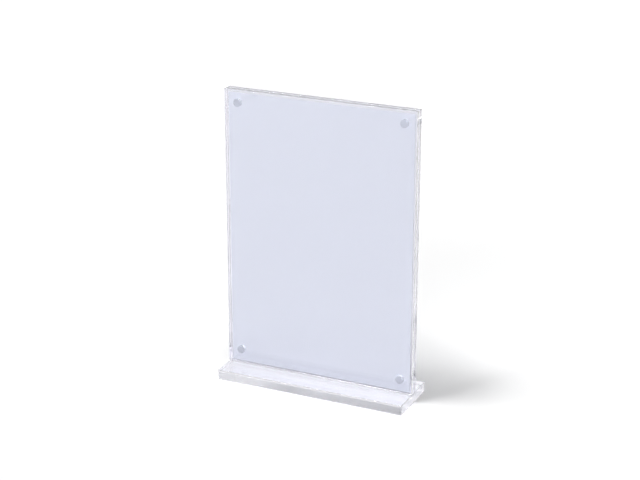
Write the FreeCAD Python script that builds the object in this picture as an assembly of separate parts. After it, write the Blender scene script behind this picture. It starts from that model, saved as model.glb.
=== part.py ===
"""Magnetic photo stand: two clear acrylic panels clamp a sheet of card and stand on a clear base bar.

Millimetres. +Z is up, the front of the stand faces -Y and its width runs along X.
The origin is at the middle of the base bar's underside.
"""

import FreeCAD
import Part

import math
import os

# ---- panels: two equal plates of cast acrylic sheet -------------------------------------------
panel_width = 152.0
panel_height = 218.0
panel_thickness = 4.0
panel_bevel = 0.4            # flame-polished break on every free edge

# ---- base bar: sawn from thicker sheet, as long as the panels are wide --------------------------
base_depth = 46.0
base_thickness = 7.8
base_bevel = 0.5

# ---- card between the panels -------------------------------------------------------------------
card_thickness = 0.4
card_side_margin = 2.2       # panel edge to card edge, each side
card_top_margin = 2.7
card_foot_margin = 1.3       # front panel's foot to card's foot; the clamping holds the card up
card_air_gap = 0.05          # film of air between the card and each panel
foot_gap = 0.1               # the magnets hold the front panel this far off the base bar

# ---- disc magnets, glued into blind pockets in the inner faces of the panels -------------------
magnet_diameter = 6.0
magnet_thickness = 2.9
magnet_bevel = 0.25
magnet_side_inset = 10.0     # panel side edge to magnet centre
magnet_top_inset = 10.0      # panel top edge to magnet centre
magnet_foot_inset = 11.0     # base bar's top to magnet centre
glue_gap = 0.05              # film of glue all round a magnet, and its depth below the panel's face

# ---- places that follow from the sizes ----------------------------------------------------------
base_top = base_thickness
panel_top = base_top + panel_height
inner_offset = card_thickness / 2 + card_air_gap       # mid-plane of the stand to a panel's inner face
pocket_radius = magnet_diameter / 2 + glue_gap
pocket_depth = magnet_thickness + 2 * glue_gap
magnet_places = {
    f"{level}_{side}": (x, z)
    for level, z in (("top", panel_top - magnet_top_inset), ("bottom", base_top + magnet_foot_inset))
    for side, x in (
        ("left", magnet_side_inset - panel_width / 2),
        ("right", panel_width / 2 - magnet_side_inset),
    )
}


def slab(low, high):
    """Square-edged slab between two opposite corners: its outline on the ground, drawn up."""
    (x0, y0, z0), (x1, y1, z1) = low, high
    corners = [(x0, y0), (x1, y0), (x1, y1), (x0, y1), (x0, y0)]
    outline = Part.makePolygon([FreeCAD.Vector(x, y, z0) for x, y in corners])
    return Part.Face(outline).extrude(FreeCAD.Vector(0, 0, z1 - z0))


def bevelled(body, bevel, keep_square=lambda edge: False):
    """The body with a 45 degree bevel on its edges, apart from those that stay square."""
    smallest = min(body.BoundBox.XLength, body.BoundBox.YLength, body.BoundBox.ZLength)
    edges = [edge for edge in body.Edges if not keep_square(edge)]
    return body.makeChamfer(min(bevel, 0.4 * smallest), edges)


def disc_along_y(radius, y_from, y_to, place, bevel=0.0):
    """Disc on an axis along Y, turned from a half profile whose outer corners may be bevelled."""
    x, z = place
    step = math.copysign(bevel, y_to - y_from)
    profile = [(0, y_from), (radius - bevel, y_from), (radius, y_from + step)]
    profile += [(radius, y_to - step), (radius - bevel, y_to), (0, y_to)]
    if not bevel:
        profile = [(0, y_from), (radius, y_from), (radius, y_to), (0, y_to)]
    points = [FreeCAD.Vector(x + r, y, z) for r, y in profile]
    half = Part.Face(Part.makePolygon(points + points[:1]))
    return half.revolve(FreeCAD.Vector(x, 0, z), FreeCAD.Vector(0, 1, 0), 360)


def make_base_bar():
    """Clear bar with every edge polished to a small bevel; the panels stand on its middle line."""
    half_length, half_depth = panel_width / 2, base_depth / 2
    bar = slab((-half_length, -half_depth, 0), (half_length, half_depth, base_thickness))
    return bevelled(bar, base_bevel)


def make_panel(side, foot, bonded):
    """Panel on one side of the card (side -1 in front, +1 behind) with a pocket in each corner.

    The edges of a bonded foot stay square, so that the glue line is as wide as the panel is thick.
    """
    inner, outer = side * inner_offset, side * (inner_offset + panel_thickness)
    near, far = sorted((inner, outer))
    plate = slab((-panel_width / 2, near, foot), (panel_width / 2, far, panel_top))

    def at_the_foot(edge):
        return bonded and edge.BoundBox.ZMax < foot + panel_thickness / 2

    plate = bevelled(plate, panel_bevel, at_the_foot)
    mouth = inner - side * glue_gap
    for place in magnet_places.values():
        plate = plate.cut(disc_along_y(pocket_radius, mouth, inner + side * pocket_depth, place))
    return plate


def make_card():
    """Sheet of card, cut a little smaller than the panels that clamp it."""
    half_width, half_thickness = panel_width / 2 - card_side_margin, card_thickness / 2
    low = (-half_width, -half_thickness, base_top + foot_gap + card_foot_margin)
    return slab(low, (half_width, half_thickness, panel_top - card_top_margin))


def make_magnet(side, place):
    """Nickel-plated disc with broken edges, set just below the inner face of its panel."""
    face = side * (inner_offset + glue_gap)
    return disc_along_y(magnet_diameter / 2, face, face + side * magnet_thickness, place, magnet_bevel)


nodes = {
    "base_bar": make_base_bar(),
    "back_panel": make_panel(+1, base_top, bonded=True),
    "front_panel": make_panel(-1, base_top + foot_gap, bonded=False),
    "photo_insert": make_card(),
}
for corner, place in magnet_places.items():
    nodes[f"front_magnet_{corner}"] = make_magnet(-1, place)
    nodes[f"back_magnet_{corner}"] = make_magnet(+1, place)

os.makedirs("parts", exist_ok=True)
for name, shape in nodes.items():
    solid = shape.Solids[0]
    print(f"{name}: volume {solid.Volume:.1f} mm3, valid {solid.isValid()}, solids {len(shape.Solids)}")
    solid.exportStep(f"parts/{name}.step")
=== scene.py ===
"""Magnetic photo stand: two clear acrylic panels clamp a blank card and stand on a clear base bar.

Metres, +Z up, the front of the stand faces -Y and its width runs along X. The sections follow
the stand as it is put together, from the base bar up, and then set it on a table to be seen.
"""

import math

import bpy
import numpy as np
from mathutils import Matrix, Vector


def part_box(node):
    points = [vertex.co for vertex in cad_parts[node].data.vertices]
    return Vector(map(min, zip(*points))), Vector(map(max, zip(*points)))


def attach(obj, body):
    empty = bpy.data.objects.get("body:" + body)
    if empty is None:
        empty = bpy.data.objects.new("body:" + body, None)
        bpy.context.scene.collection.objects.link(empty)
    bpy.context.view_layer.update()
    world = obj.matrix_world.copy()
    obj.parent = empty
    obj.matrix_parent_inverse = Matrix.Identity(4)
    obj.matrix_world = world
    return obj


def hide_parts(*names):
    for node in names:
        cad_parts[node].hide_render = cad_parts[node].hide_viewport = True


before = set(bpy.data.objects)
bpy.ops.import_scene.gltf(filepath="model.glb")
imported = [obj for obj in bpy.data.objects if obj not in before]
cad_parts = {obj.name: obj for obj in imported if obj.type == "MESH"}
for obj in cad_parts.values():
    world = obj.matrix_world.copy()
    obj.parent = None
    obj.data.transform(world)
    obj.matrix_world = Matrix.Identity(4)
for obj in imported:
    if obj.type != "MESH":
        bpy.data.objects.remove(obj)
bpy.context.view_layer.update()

# ---- Base bar ------------------------------------------------------------------------------------
# A bar sawn from thick cast acrylic sheet, milled to size and polished on every side. Its arrises
# are rounded to a third of a millimetre, so that each one shows as a fine line of light and dark.

MM = 0.001
BASE_ARRIS = 0.35 * MM
CORNER_STEPS = 5             # facets in a quarter turn of an arris
MERGE_DIGITS = 8             # decimals of a metre, to which points that share a place agree


def mesh_object(name, *patches):
    """A closed mesh from grids of points, each grid with its own normals.

    Neighbours in a grid become quads, points that share a place are merged, quads that shrink to a
    line are dropped, and each face is turned so that it looks along the normals of its points.
    """
    sizes = [place.shape[0] * place.shape[1] for place, _ in patches]
    starts = np.cumsum([0] + sizes[:-1])
    grids = [start + np.arange(size).reshape(place.shape[:2])
             for start, size, (place, _) in zip(starts, sizes, patches)]
    quads = np.concatenate([
        np.stack([grid[:-1, :-1], grid[1:, :-1], grid[1:, 1:], grid[:-1, 1:]], axis=-1).reshape(-1, 4)
        for grid in grids])
    points = np.concatenate([place.reshape(-1, 3) for place, _ in patches])
    normals = np.concatenate([normal.reshape(-1, 3) for _, normal in patches])

    corner = points[quads]
    across = np.cross(corner[:, 2] - corner[:, 0], corner[:, 3] - corner[:, 1])
    backward = np.einsum("ij,ij->i", across, normals[quads].sum(axis=1)) < 0
    quads[backward] = quads[backward, ::-1]

    places = np.round(points, MERGE_DIGITS) + 0.0      # the zero makes -0.0 the same place as 0.0
    _, first, merged = np.unique(places, axis=0, return_index=True, return_inverse=True)
    merged = merged.reshape(-1)
    kept = merged[quads] != np.roll(merged[quads], -1, axis=1)
    quads, kept = quads[kept.sum(axis=1) > 2], kept[kept.sum(axis=1) > 2]
    corners, counts = quads[kept], kept.sum(axis=1)

    mesh = bpy.data.meshes.new(name)
    mesh.vertices.add(len(first))
    mesh.vertices.foreach_set("co", points[first].ravel())
    mesh.loops.add(len(corners))
    mesh.loops.foreach_set("vertex_index", merged[corners])
    mesh.polygons.add(len(counts))
    mesh.polygons.foreach_set("loop_start", np.cumsum(counts) - counts)
    mesh.update(calc_edges=True)
    mesh.normals_split_custom_set(normals[corners])
    piece = bpy.data.objects.new(name, mesh)
    bpy.context.collection.objects.link(piece)
    return piece


def arris_profile(edge, outward, low, high, radius):
    """The edge of a flat plate: a rounded arris, a flat side and another arris, carried along.

    Each column starts at a point of the flat face's edge. It runs a quarter turn from the low face
    to the side and another from the side to the high face, so a point is the edge point, plus
    radius times the cosine outward, plus the sine along the plate's thickness (the third axis).
    """
    turn = np.linspace(0, np.pi / 2, CORNER_STEPS + 1)
    turn = np.concatenate([turn - np.pi / 2, turn])[:, None]
    middle = np.where(np.arange(len(turn)) <= CORNER_STEPS, low + radius, high - radius)[:, None]
    across = np.cos(turn)[..., None] * outward
    rise = np.sin(turn) + np.zeros(len(edge))
    place = np.concatenate([edge + radius * across, (middle + radius * rise)[..., None]], axis=-1)
    normal = np.concatenate([across, rise[..., None]], axis=-1)
    return place, normal


def rounded_slab(low, high, radius):
    """Patches of a slab with all its arrises rounded: two flat faces and the edge between them.

    The flat faces' outline is a rectangle, and at each of its corners the outward direction turns
    through a right angle in even steps.
    """
    (x0, y0, z0), (x1, y1, z1) = low, high
    xs = np.array([x1 - radius, x0 + radius, x0 + radius, x1 - radius])
    ys = np.array([y1 - radius, y1 - radius, y0 + radius, y0 + radius])
    turns = (np.arange(4)[:, None] + np.linspace(0, 1, CORNER_STEPS + 1)) * np.pi / 2
    turns = np.append(turns.ravel(), 0)
    corner = np.append(np.repeat(np.arange(4), CORNER_STEPS + 1), 0)
    edge = np.stack([xs[corner], ys[corner]], axis=-1)
    outward = np.stack([np.cos(turns), np.sin(turns)], axis=-1)
    side = arris_profile(edge, outward, z0, z1, radius)
    u, v = np.meshgrid([x0 + radius, x1 - radius], [y0 + radius, y1 - radius], indexing="ij")
    faces = [(np.stack([u, v, np.full_like(u, z)], axis=-1), np.full((2, 2, 3), (0.0, 0.0, toward)))
             for z, toward in ((z0, -1.0), (z1, 1.0))]
    return [side, *faces]


def linear(hex_colour):
    """sRGB hex to linear RGBA: each channel undoes the sRGB curve."""
    srgb = np.array([int(hex_colour[i:i + 2], 16) / 255 for i in (1, 3, 5)])
    rgb = np.where(srgb <= 0.04045, srgb / 12.92, ((srgb + 0.055) / 1.055) ** 2.4)
    return (*rgb.tolist(), 1.0)


def add_node(tree, kind, sockets=(), **settings):
    """One node with its settings. Each of its sockets takes a value, or an output to link from."""
    node = tree.nodes.new(kind)
    for key, value in settings.items():
        setattr(node, key, value)
    for socket, source in sockets:
        if isinstance(source, bpy.types.NodeSocket):
            tree.links.new(source, node.inputs[socket])
        else:
            node.inputs[socket].default_value = source
    return node


def new_material(name):
    """An empty material and its node tree."""
    material = bpy.data.materials.new(name)
    material.use_nodes = True
    material.node_tree.nodes.clear()
    return material, material.node_tree


# Cast acrylic (PMMA), polished. Clear with a breath of blue, it bends what is behind it and mirrors
# the room at a glancing angle. The polish leaves a slight haze, which softens the many reflections
# inside, and a long path, from one end of a panel to the other, is greyer than a short one. Light
# for what lies behind runs straight through it, and faint waves in cast sheet move the reflections.
ACRYLIC_INDEX = 1.49
SHEET_WAVE = 25 * MM
SHEET_WAVE_HEIGHT = 0.0003 * MM

acrylic, tree = new_material("Polished cast acrylic")
coordinate = add_node(tree, "ShaderNodeTexCoord")
waviness = add_node(tree, "ShaderNodeTexNoise", [
    ("Vector", coordinate.outputs["Object"]), ("Scale", 1 / SHEET_WAVE), ("Detail", 1.0)])
wavy = add_node(tree, "ShaderNodeBump", [
    ("Strength", 1.0), ("Distance", SHEET_WAVE_HEIGHT), ("Height", waviness.outputs["Fac"])])
clear = add_node(tree, "ShaderNodeBsdfPrincipled", [
    ("Base Color", linear("#EEEEF3")), ("Roughness", 0.05), ("IOR", ACRYLIC_INDEX),
    ("Transmission Weight", 1.0), ("Normal", wavy.outputs["Normal"])])
ray = add_node(tree, "ShaderNodeLightPath")
lit = add_node(tree, "ShaderNodeMath", [
    (0, ray.outputs["Is Shadow Ray"]), (1, ray.outputs["Is Diffuse Ray"])], operation="MAXIMUM")
passed = add_node(tree, "ShaderNodeBsdfTransparent", [("Color", linear("#FAFAFC"))])
surface = add_node(tree, "ShaderNodeMixShader", [
    (0, lit.outputs[0]), (1, clear.outputs[0]), (2, passed.outputs[0])])
dimming = add_node(tree, "ShaderNodeVolumeAbsorption", [
    ("Color", (0.0, 0.03, 0.12, 1.0)), ("Density", 0.2)])
add_node(tree, "ShaderNodeOutputMaterial", [
    ("Surface", surface.outputs[0]), ("Volume", dimming.outputs[0])])

base_bar = mesh_object("polished_base_bar", *rounded_slab(*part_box("base_bar"), BASE_ARRIS))
base_bar.data.materials.append(acrylic)
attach(base_bar, "stand")
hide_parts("base_bar")

# ---- Back panel ----------------------------------------------------------------------------------
# A plate of 4 mm cast acrylic sheet, laser-cut and polished, its square foot bonded to the middle
# of the base bar with solvent. A blind pocket is milled into each corner of its inner face.

PANEL_ARRIS = 0.15 * MM
BOND_DEPTH = 0.02 * MM       # the solvent melts the two together, so the panel's foot sinks in
POCKET_RADIUS = 3.05 * MM
POCKET_DEPTH = 3.0 * MM
POCKET_FACETS = 64
RAY_GAP = 0.02               # radians; a ray closer than this to one through a corner is left out
SAME_ANGLE = 1e-8            # radians; rays this close together are one
NO_SLOPE = 1e-9              # stands in for zero where a ray runs along a line and never meets it


def pocketed_panel(name, node, side, pockets, bonded):
    """A plate with rounded arrises and four round pockets in its inner face.

    Each quarter of the plate holds one pocket, and everything in it lies on rays from the pocket's
    axis: the pocket's circle is at the pocket radius, and the quarter's outline is where the ray
    leaves the quarter's rectangle, which is the least of the distances to the lines ahead of it.
    Along the free edges the arris profile is carried from ray to ray. Side -1 is the front panel.
    """
    low, high = (np.round(corner, 7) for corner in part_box(node))       # to 0.1 um
    thickness = high[1] - low[1]
    inner = low[1] if side > 0 else high[1]
    split = sum(z for _, z in pockets) / len(pockets)
    patches = []
    for x, z in pockets:
        right, above = math.copysign(1, x), math.copysign(1, z - split)
        foot_bonded = bonded and above < 0
        to_middle, to_split = abs(x), abs(z - split)
        to_side = high[0] - abs(x) - PANEL_ARRIS
        end_inset = -BOND_DEPTH if foot_bonded else PANEL_ARRIS
        to_end = (high[2] - z if above > 0 else z - low[2]) - end_inset

        corners = np.arctan2([-to_split, to_end, to_end, -to_split],
                             [to_side, to_side, -to_middle, -to_middle])
        first, bend, last = corners[0], corners[1], corners[2]
        angle = np.linspace(-np.pi, np.pi, POCKET_FACETS + 1)[1:]
        angle = angle[abs(angle[:, None] - corners).min(axis=1) > RAY_GAP]
        angle = np.sort(np.append(angle, corners))
        angle = np.append(angle, angle[0] + 2 * np.pi)
        ray = np.stack([np.cos(angle), np.sin(angle)], axis=-1)
        reach = np.stack([
            np.where(ray[:, 0] > 0, to_side, to_middle) / np.maximum(abs(ray[:, 0]), NO_SLOPE),
            np.where(ray[:, 1] > 0, to_end, to_split) / np.maximum(abs(ray[:, 1]), NO_SLOPE)])
        outline = ray * reach.min(axis=0)[:, None]

        def level(distance, depth, normal):
            """Points on the rays at a distance from the axis and a depth below the inner face."""
            flat = ray * distance if np.isscalar(distance) else distance
            return np.insert(flat, 2, depth, axis=1), np.broadcast_to(normal, (len(ray), 3))

        def between(*levels):
            """The surface that joins rings of points, ray by ray."""
            return np.stack([place for place, _ in levels]), np.stack([normal for _, normal in levels])

        toward, away = (0.0, 0.0, -1.0), (0.0, 0.0, 1.0)
        wall = np.insert(-ray, 2, 0, axis=1)
        quarter = [
            between(level(POCKET_RADIUS, 0, toward), level(outline, 0, toward)),
            between(level(POCKET_RADIUS, 0, wall), level(POCKET_RADIUS, POCKET_DEPTH, wall)),
            between(level(POCKET_RADIUS, POCKET_DEPTH, toward), level(0, POCKET_DEPTH, toward)),
            between(level(0, thickness, away), level(POCKET_RADIUS, thickness, away),
                    level(outline, thickness, away))]

        free = (angle >= first - SAME_ANGLE) & (angle <= last + SAME_ANGLE)
        edge_angle, edge = angle[free], outline[free]
        bends = edge_angle == bend
        repeat = np.where(bends, CORNER_STEPS + 1, 1)
        turn = np.repeat(np.where(edge_angle < bend, 0.0, np.pi / 2), repeat)
        at_bend = np.repeat(bends, repeat)
        turn[at_bend] = np.linspace(0, np.pi / 2, CORNER_STEPS + 1)
        edge = np.repeat(edge, repeat, axis=0)
        outward = np.stack([np.cos(turn), np.sin(turn)], axis=-1)
        place, normal = arris_profile(edge, outward, 0, thickness, PANEL_ARRIS)
        if foot_bonded:
            bend_starts = np.flatnonzero(at_bend)[0]
            quarter.append((place[:, :bend_starts + 1], normal[:, :bend_starts + 1]))
            under = place[:, bend_starts:].copy()
            under[..., 1] = np.minimum(under[..., 1], to_end)
            quarter.append((under, np.broadcast_to((0.0, 1.0, 0.0), under.shape)))
        else:
            quarter.append((place, normal))

        scale = np.array([right, side, above])
        centre = np.array([x, inner, z])
        patches += [(centre + place[..., [0, 2, 1]] * scale, normal[..., [0, 2, 1]] * scale)
                    for place, normal in quarter]
    return mesh_object(name, *patches)


def magnet_axes(which):
    """The x and z of each magnet of one panel: the middles of their boxes, to the nearest 10 um."""
    boxes = [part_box(node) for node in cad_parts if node.startswith(which + "_magnet")]
    return [tuple(round((low[axis] + high[axis]) / 2, 5) for axis in (0, 2)) for low, high in boxes]


back_panel = pocketed_panel("bonded_back_panel", "back_panel", 1, magnet_axes("back"), bonded=True)
back_panel.data.materials.append(acrylic)
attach(back_panel, "stand")
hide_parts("back_panel")

# ---- Magnets of the back panel -------------------------------------------------------------------
# Neodymium discs, pressed, ground and tumbled, then plated with nickel. Each is glued into its
# pocket, a hair below the panel's face. The tumbling leaves the rims round.

MAGNET_RIM = 0.12 * MM
MAGNET_FACETS = 72

# Nickel plate on a tumbled surface: a cool grey that gives back the room as a soft glow. Its
# sharpness is mottled from millimetre to millimetre, and its pits, far finer in the real plate, are
# drawn 0.15 mm apart.
MOTTLE = 1.2 * MM
PITS = 0.15 * MM
PIT_DEPTH = 0.01 * MM

nickel, tree = new_material("Tumbled nickel plate")
coordinate = add_node(tree, "ShaderNodeTexCoord")
mottle = add_node(tree, "ShaderNodeTexNoise", [
    ("Vector", coordinate.outputs["Object"]), ("Scale", 1 / MOTTLE), ("Detail", 3.0)])
dullness = add_node(tree, "ShaderNodeMapRange", [
    ("Value", mottle.outputs["Fac"]), ("From Min", 0.3), ("From Max", 0.7),
    ("To Min", 0.44), ("To Max", 0.56)])
pits = add_node(tree, "ShaderNodeTexNoise", [
    ("Vector", coordinate.outputs["Object"]), ("Scale", 1 / PITS), ("Detail", 2.0)])
pitted = add_node(tree, "ShaderNodeBump", [
    ("Strength", 0.15), ("Distance", PIT_DEPTH), ("Height", pits.outputs["Fac"])])
tone = add_node(tree, "ShaderNodeMix", [
    ("Factor", mottle.outputs["Fac"]), ("A", linear("#CACED5")), ("B", linear("#D4D8DE"))],
    data_type="RGBA")
plate = add_node(tree, "ShaderNodeBsdfPrincipled", [
    ("Base Color", tone.outputs["Result"]), ("Metallic", 1.0), ("Roughness", dullness.outputs[0]),
    ("Normal", pitted.outputs["Normal"])])
add_node(tree, "ShaderNodeOutputMaterial", [("Surface", plate.outputs[0])])


def plated_disc(name, node):
    """A disc turned about its axis along Y: a flat face, a round rim, the side, a rim and a face.

    The profile's point is (radius from the axis, place along it); on a rim both follow a quarter
    circle, and the surface is the profile turned through the full circle.
    """
    low, high = (np.array(corner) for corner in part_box(node))
    centre, half = (low + high) / 2, (high - low) / 2
    turn = np.concatenate([
        np.linspace(-np.pi / 2, 0, CORNER_STEPS + 1), np.linspace(0, np.pi / 2, CORNER_STEPS + 1)])
    middle = (half[1] - MAGNET_RIM) * np.repeat([-1, 1], CORNER_STEPS + 1)
    radius = np.concatenate([[0], half[0] - MAGNET_RIM + MAGNET_RIM * np.cos(turn), [0]])
    along = np.concatenate([[-half[1]], middle + MAGNET_RIM * np.sin(turn), [half[1]]])
    out = np.concatenate([[0], np.cos(turn), [0]])
    up = np.concatenate([[-1], np.sin(turn), [1]])
    angle = np.linspace(0, 2 * np.pi, MAGNET_FACETS + 1)
    place, normal = (
        np.stack([np.outer(sideways, np.cos(angle)), np.outer(axial, np.ones_like(angle)),
                  np.outer(sideways, np.sin(angle))], axis=-1)
        for sideways, axial in ((radius, along), (out, up)))
    return mesh_object(name, (centre + place, normal))


def fit_magnets(which, body):
    """Plated discs for all the magnets of one panel.

    Acrylic bends slanting light until it runs nearly square to the sheet, which hides a disc's shadow
    behind the disc. The shadow rays here run straight on, so the discs before the card cast none.
    """
    for node in [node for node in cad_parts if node.startswith(which + "_magnet")]:
        magnet = plated_disc("plated_" + node, node)
        magnet.data.materials.append(nickel)
        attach(magnet, body)
        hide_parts(node)
        magnet.visible_shadow = which == "back"


fit_magnets("back", "stand")

# ---- Card ----------------------------------------------------------------------------------------
# A blank sheet of uncoated white card where a picture would go, cut on a guillotine a little
# smaller than the panels. Nothing but the clamping holds it.

CARD_ARRIS = 0.05 * MM
UPRIGHT = [0, 2, 1]          # the slab is worked out lying down and stands up by swapping its axes

low, high = ([corner[axis] for axis in UPRIGHT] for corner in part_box("photo_insert"))
card = mesh_object("blank_card", *[
    (place[..., UPRIGHT], normal[..., UPRIGHT]) for place, normal in rounded_slab(low, high, CARD_ARRIS)])

# Bleached wood-pulp card with an optical brightener: a cool matt white. The fibres settle in soft
# clouds a few millimetres wide, and single fibres, some 0.4 mm apart, roughen the surface.
FIBRE_CLOUDS = 6 * MM
FIBRES = 0.4 * MM
FIBRE_HEIGHT = 0.02 * MM

paper, tree = new_material("Uncoated white card")
coordinate = add_node(tree, "ShaderNodeTexCoord")
clouds = add_node(tree, "ShaderNodeTexNoise", [
    ("Vector", coordinate.outputs["Object"]), ("Scale", 1 / FIBRE_CLOUDS), ("Detail", 2.0)])
fibres = add_node(tree, "ShaderNodeTexNoise", [
    ("Vector", coordinate.outputs["Object"]), ("Scale", 1 / FIBRES), ("Detail", 3.0)])
cloudy = add_node(tree, "ShaderNodeMix", [
    ("Factor", clouds.outputs["Fac"]), ("A", linear("#EEF2FA")), ("B", linear("#F2F6FC"))],
    data_type="RGBA")
felted = add_node(tree, "ShaderNodeBump", [
    ("Strength", 0.2), ("Distance", FIBRE_HEIGHT), ("Height", fibres.outputs["Fac"])])
white = add_node(tree, "ShaderNodeBsdfPrincipled", [
    ("Base Color", cloudy.outputs["Result"]), ("Roughness", 0.8), ("Normal", felted.outputs["Normal"])])
add_node(tree, "ShaderNodeOutputMaterial", [("Surface", white.outputs[0])])
card.data.materials.append(paper)
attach(card, "insert")
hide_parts("photo_insert")

# ---- Front panel ---------------------------------------------------------------------------------
# The same plate as the back panel, pockets and all, but free: its magnets hold it to those behind
# the card, and its foot, with all its arrises broken, stops just clear of the base bar.

front_panel = pocketed_panel("free_front_panel", "front_panel", -1, magnet_axes("front"), bonded=False)
front_panel.data.materials.append(acrylic)
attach(front_panel, "front_cover")
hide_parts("front_panel")

fit_magnets("front", "front_cover")

# ---- Table ---------------------------------------------------------------------------------------
# A table top of matt white laminate that runs on to the horizon, so that its own colour is the
# background. It shines a little for the eye, for mirrors and for glass, but that lights nothing.
# Round the stand and under the base bar that shine is painted light and painted shade.

TABLE_HALF = 6.0
TABLE_DROP = 0.2 * MM        # keeps the table's face clear of the underside of the base bar

table = bpy.data.meshes.new("table")
table.from_pydata([(x * TABLE_HALF, y * TABLE_HALF, -TABLE_DROP)
                   for x, y in ((-1, -1), (1, -1), (1, 1), (-1, 1))], [], [(0, 1, 2, 3)])
floor = bpy.data.objects.new("floor", table)
bpy.context.collection.objects.link(floor)


def eye_or_glass(tree):
    """1 for a ray from the eye, a mirror or glass, and 0 for one that brings light to a surface."""
    ray = add_node(tree, "ShaderNodeLightPath")
    glass = add_node(tree, "ShaderNodeMath", [
        (0, ray.outputs["Is Glossy Ray"]), (1, ray.outputs["Is Transmission Ray"])], operation="MAXIMUM")
    seen = add_node(tree, "ShaderNodeMath", [
        (0, glass.outputs[0]), (1, ray.outputs["Is Camera Ray"])], operation="MAXIMUM")
    return seen.outputs[0]


def strength_curve(tree, value, points):
    """A smooth curve of strength against a value: each point is (value, strength)."""
    start, end = points[0][0], points[-1][0]
    share = add_node(tree, "ShaderNodeMapRange", [
        ("Value", value), ("From Min", start), ("From Max", end)])
    node = add_node(tree, "ShaderNodeFloatCurve", [("Value", share.outputs[0])])
    curve = node.mapping.curves[0]
    shares = [((at - start) / (end - start), strength) for at, strength in points]
    curve.points[0].location, curve.points[1].location = shares[0], shares[-1]
    for point in shares[1:-1]:
        curve.points.new(*point)
    node.mapping.update()
    return node


laminate, tree = new_material("Matt white laminate")
coordinate = add_node(tree, "ShaderNodeTexCoord")
on_table = coordinate.outputs["Object"]
ground = add_node(tree, "ShaderNodeBsdfPrincipled", [
    ("Base Color", linear("#F3F3F3")), ("Roughness", 0.9), ("Specular IOR Level", 0.1)])

# The lamps light the middle of the table and fade outwards, so its shine grows with the distance
# from where they point, and table and horizon stay one white.
LIT_SPOT = (-0.6, -0.8, 0.0)
FADE_REACH = 4.0
SHINE_AT_SPOT = -0.075
SHINE_AT_REACH = 0.925
from_spot = add_node(tree, "ShaderNodeVectorMath", [(0, on_table), (1, LIT_SPOT)], operation="DISTANCE")
evening = add_node(tree, "ShaderNodeMapRange", [
    ("Value", from_spot.outputs["Value"]), ("From Min", 0.0), ("From Max", FADE_REACH),
    ("To Min", SHINE_AT_SPOT), ("To Max", SHINE_AT_REACH)])

# Round the stand the table's faint shine is painted light and painted shade that shape the
# stand's shadow, in part for the light that clear acrylic bends on to the table and a plain shadow
# leaves out. It is (distance from the stand's middle, strength), below zero in a ring, where it
# darkens the shadow, and a painted shade makes it weakest behind the left end.
NEARBY = [(0.0, 0.16), (0.06, 0.09), (0.085, 0.015), (0.11, -0.035), (0.15, 0.03), (0.2, 0.02), (0.3, 0.0)]
LEFT_END = (-0.06, 0.035, 0.0)
from_middle = add_node(tree, "ShaderNodeVectorMath", [(0, on_table)], operation="LENGTH")
nearby = strength_curve(tree, from_middle.outputs["Value"], NEARBY)
from_left_end = add_node(tree, "ShaderNodeVectorMath", [(0, on_table), (1, LEFT_END)], operation="DISTANCE")
# painted shade on the table behind the left end of the bar
left_end_painted_shade = add_node(tree, "ShaderNodeMapRange", [
    ("Value", from_left_end.outputs["Value"]), ("From Min", 0.02), ("From Max", 0.05),
    ("To Min", -0.2), ("To Max", 0.0)], interpolation_type="SMOOTHSTEP")
open_table = add_node(tree, "ShaderNodeMath", [
    (0, evening.outputs[0]), (1, nearby.outputs[0])], operation="ADD")
beside_bar = add_node(tree, "ShaderNodeMath", [
    (0, open_table.outputs[0]), (1, left_end_painted_shade.outputs[0])], operation="ADD")

# Under the bar the table's shine is painted light, seen through the bar, that stands in for the
# light the upright panels pipe down: little in front of them and much from their foot back, as
# (place along the bar's depth, strength), and a touch more to the right.
BAR_DEPTH_SHINE = [
    (-23 * MM, 0.09), (-10 * MM, 0.18), (-5 * MM, 0.215), (0.0, 0.265),
    (3 * MM, 0.74), (6 * MM, 1.08), (11 * MM, 1.08), (23 * MM, 0.75)]
SHINE_PER_METRE = 0.8        # how fast it grows towards the right
PIPED_HALF_LENGTH = 75 * MM
PIPED_HALF_DEPTH = 22 * MM
place = add_node(tree, "ShaderNodeSeparateXYZ", [(0, on_table)])
within = []
for axis, half in (("X", PIPED_HALF_LENGTH), ("Y", PIPED_HALF_DEPTH)):
    off = add_node(tree, "ShaderNodeMath", [(0, place.outputs[axis])], operation="ABSOLUTE")
    within.append(add_node(tree, "ShaderNodeMath", [(0, off.outputs[0]), (1, half)], operation="LESS_THAN"))
under_bar = add_node(tree, "ShaderNodeMath", [
    (0, within[0].outputs[0]), (1, within[1].outputs[0])], operation="MULTIPLY")
# painted light on the table under the bar, brighter from the panels' foot back
painted_piped_light = strength_curve(tree, place.outputs["Y"], BAR_DEPTH_SHINE)
slanted = add_node(tree, "ShaderNodeMath", [
    (0, place.outputs["X"]), (1, SHINE_PER_METRE), (2, painted_piped_light.outputs[0])], operation="MULTIPLY_ADD")
shine = add_node(tree, "ShaderNodeMix", [
    ("Factor", under_bar.outputs[0]), ("A", beside_bar.outputs[0]), ("B", slanted.outputs[0])],
    data_type="FLOAT")
seen_shine = add_node(tree, "ShaderNodeMath", [
    (0, eye_or_glass(tree)), (1, shine.outputs["Result"])], operation="MULTIPLY")
glow = add_node(tree, "ShaderNodeEmission", [("Strength", seen_shine.outputs[0])])
both = add_node(tree, "ShaderNodeAddShader", [(0, ground.outputs[0]), (1, glow.outputs[0])])
add_node(tree, "ShaderNodeOutputMaterial", [("Surface", both.outputs[0])])
table.materials.append(laminate)

# ---- Room and lamps ------------------------------------------------------------------------------
# A pale room for the acrylic and the nickel to mirror: white at the horizon, so that the table runs
# into it, and a shade darker higher up. Matt surfaces get only a little light from it.

ROOM_LIGHT = 0.131
ROOM_AT_HORIZON = 1.0
ROOM_HIGHER_UP = 0.92
HIGHER_UP = 0.35             # height of a direction that points about 20 degrees above the horizon

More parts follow.
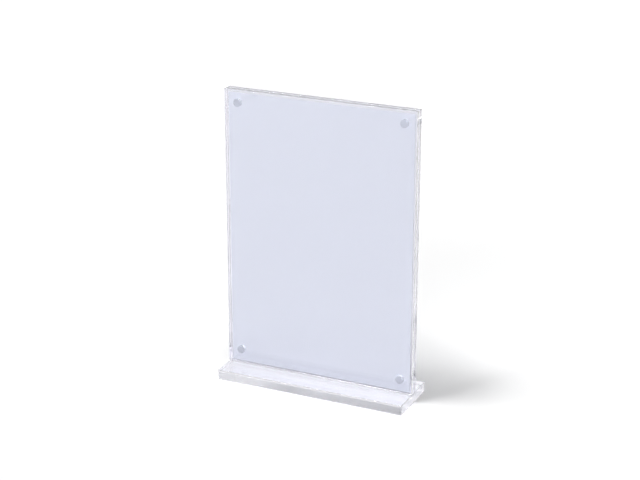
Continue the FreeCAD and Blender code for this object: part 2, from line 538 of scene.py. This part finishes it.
room = bpy.data.worlds.new("room")
room.use_nodes = True
tree = room.node_tree
tree.nodes.clear()
coordinate = add_node(tree, "ShaderNodeTexCoord")
toward = add_node(tree, "ShaderNodeSeparateXYZ", [(0, coordinate.outputs["Generated"])])
height = add_node(tree, "ShaderNodeMapRange", [
    ("Value", toward.outputs["Z"]), ("From Min", 0.0), ("From Max", HIGHER_UP),
    ("To Min", ROOM_AT_HORIZON), ("To Max", ROOM_HIGHER_UP)], interpolation_type="SMOOTHSTEP")
level = add_node(tree, "ShaderNodeMix", [
    ("Factor", eye_or_glass(tree)), ("A", ROOM_LIGHT), ("B", height.outputs[0])], data_type="FLOAT")
air = add_node(tree, "ShaderNodeBackground", [
    ("Color", (1.0, 1.0, 1.0, 1.0)), ("Strength", level.outputs["Result"])])
add_node(tree, "ShaderNodeOutputWorld", [("Surface", air.outputs[0])])
bpy.context.scene.world = room


def softbox(name, centre, aim, size, power):
    """A rectangular lamp at a centre, turned to shine at the aim."""
    lamp = bpy.data.lights.new(name, "AREA")
    lamp.shape = "RECTANGLE"
    lamp.size, lamp.size_y = size
    lamp.energy = power
    tripod = bpy.data.objects.new(name, lamp)
    bpy.context.collection.objects.link(tripod)
    tripod.location = centre
    tripod.rotation_euler = (Vector(aim) - Vector(centre)).to_track_quat("-Z", "Y").to_euler()
    return tripod


# A small softbox overhead on the left throws the shadow, and a broad one in front lights the card.
# A weak one behind keeps the card's back from going dark. Mirrors and glass leave that one out,
# because it would wash out the ends of the acrylic.
MIDDLE = (0, 0, 0.1)
softbox("key_softbox", (-0.840, -0.70, 2.575), (0, 0, 0), (0.9, 0.9), 55.8)
softbox("fill_softbox", (0.2, -3.8, 1.8), MIDDLE, (2.4, 1.8), 63.5)
behind = softbox("back_softbox", (1.2, 3.8, 1.2), MIDDLE, (2.4, 1.8), 43.5)
behind.visible_glossy = False
behind.visible_transmission = False

# ---- Camera --------------------------------------------------------------------------------------
# A long lens, a little right of the stand and above it. It turns left by the yaw and down by the
# pitch, and the roll holds it a hair off level.

STANDPOINT = (0.47698, -1.03299, 0.53154)
yaw, pitch, roll = (math.radians(angle) for angle in (24.81, 19.98, 0.09))
camera = bpy.data.cameras.new("camera")
camera.sensor_width = 36
camera.lens = 92.19
camera.clip_start = 0.01
viewer = bpy.data.objects.new("camera", camera)
bpy.context.collection.objects.link(viewer)
forward = Vector((-math.sin(yaw) * math.cos(pitch), math.cos(yaw) * math.cos(pitch), -math.sin(pitch)))
level_right = Vector((math.cos(yaw), math.sin(yaw), 0))
level_up = level_right.cross(forward)
right = level_right * math.cos(roll) + level_up * math.sin(roll)
up = level_up * math.cos(roll) - level_right * math.sin(roll)
turned = Matrix((right, up, -forward)).transposed().to_4x4()
viewer.matrix_world = Matrix.Translation(STANDPOINT) @ turned
bpy.context.scene.camera = viewer
bpy.context.scene.view_settings.view_transform = "Standard"

# Light crosses a clear panel many times on its way to an edge, so none of its turns is cut short.
MOST_TURNS = 64
bpy.context.scene.cycles.max_bounces = MOST_TURNS
bpy.context.scene.cycles.glossy_bounces = MOST_TURNS
bpy.context.scene.cycles.transmission_bounces = MOST_TURNS
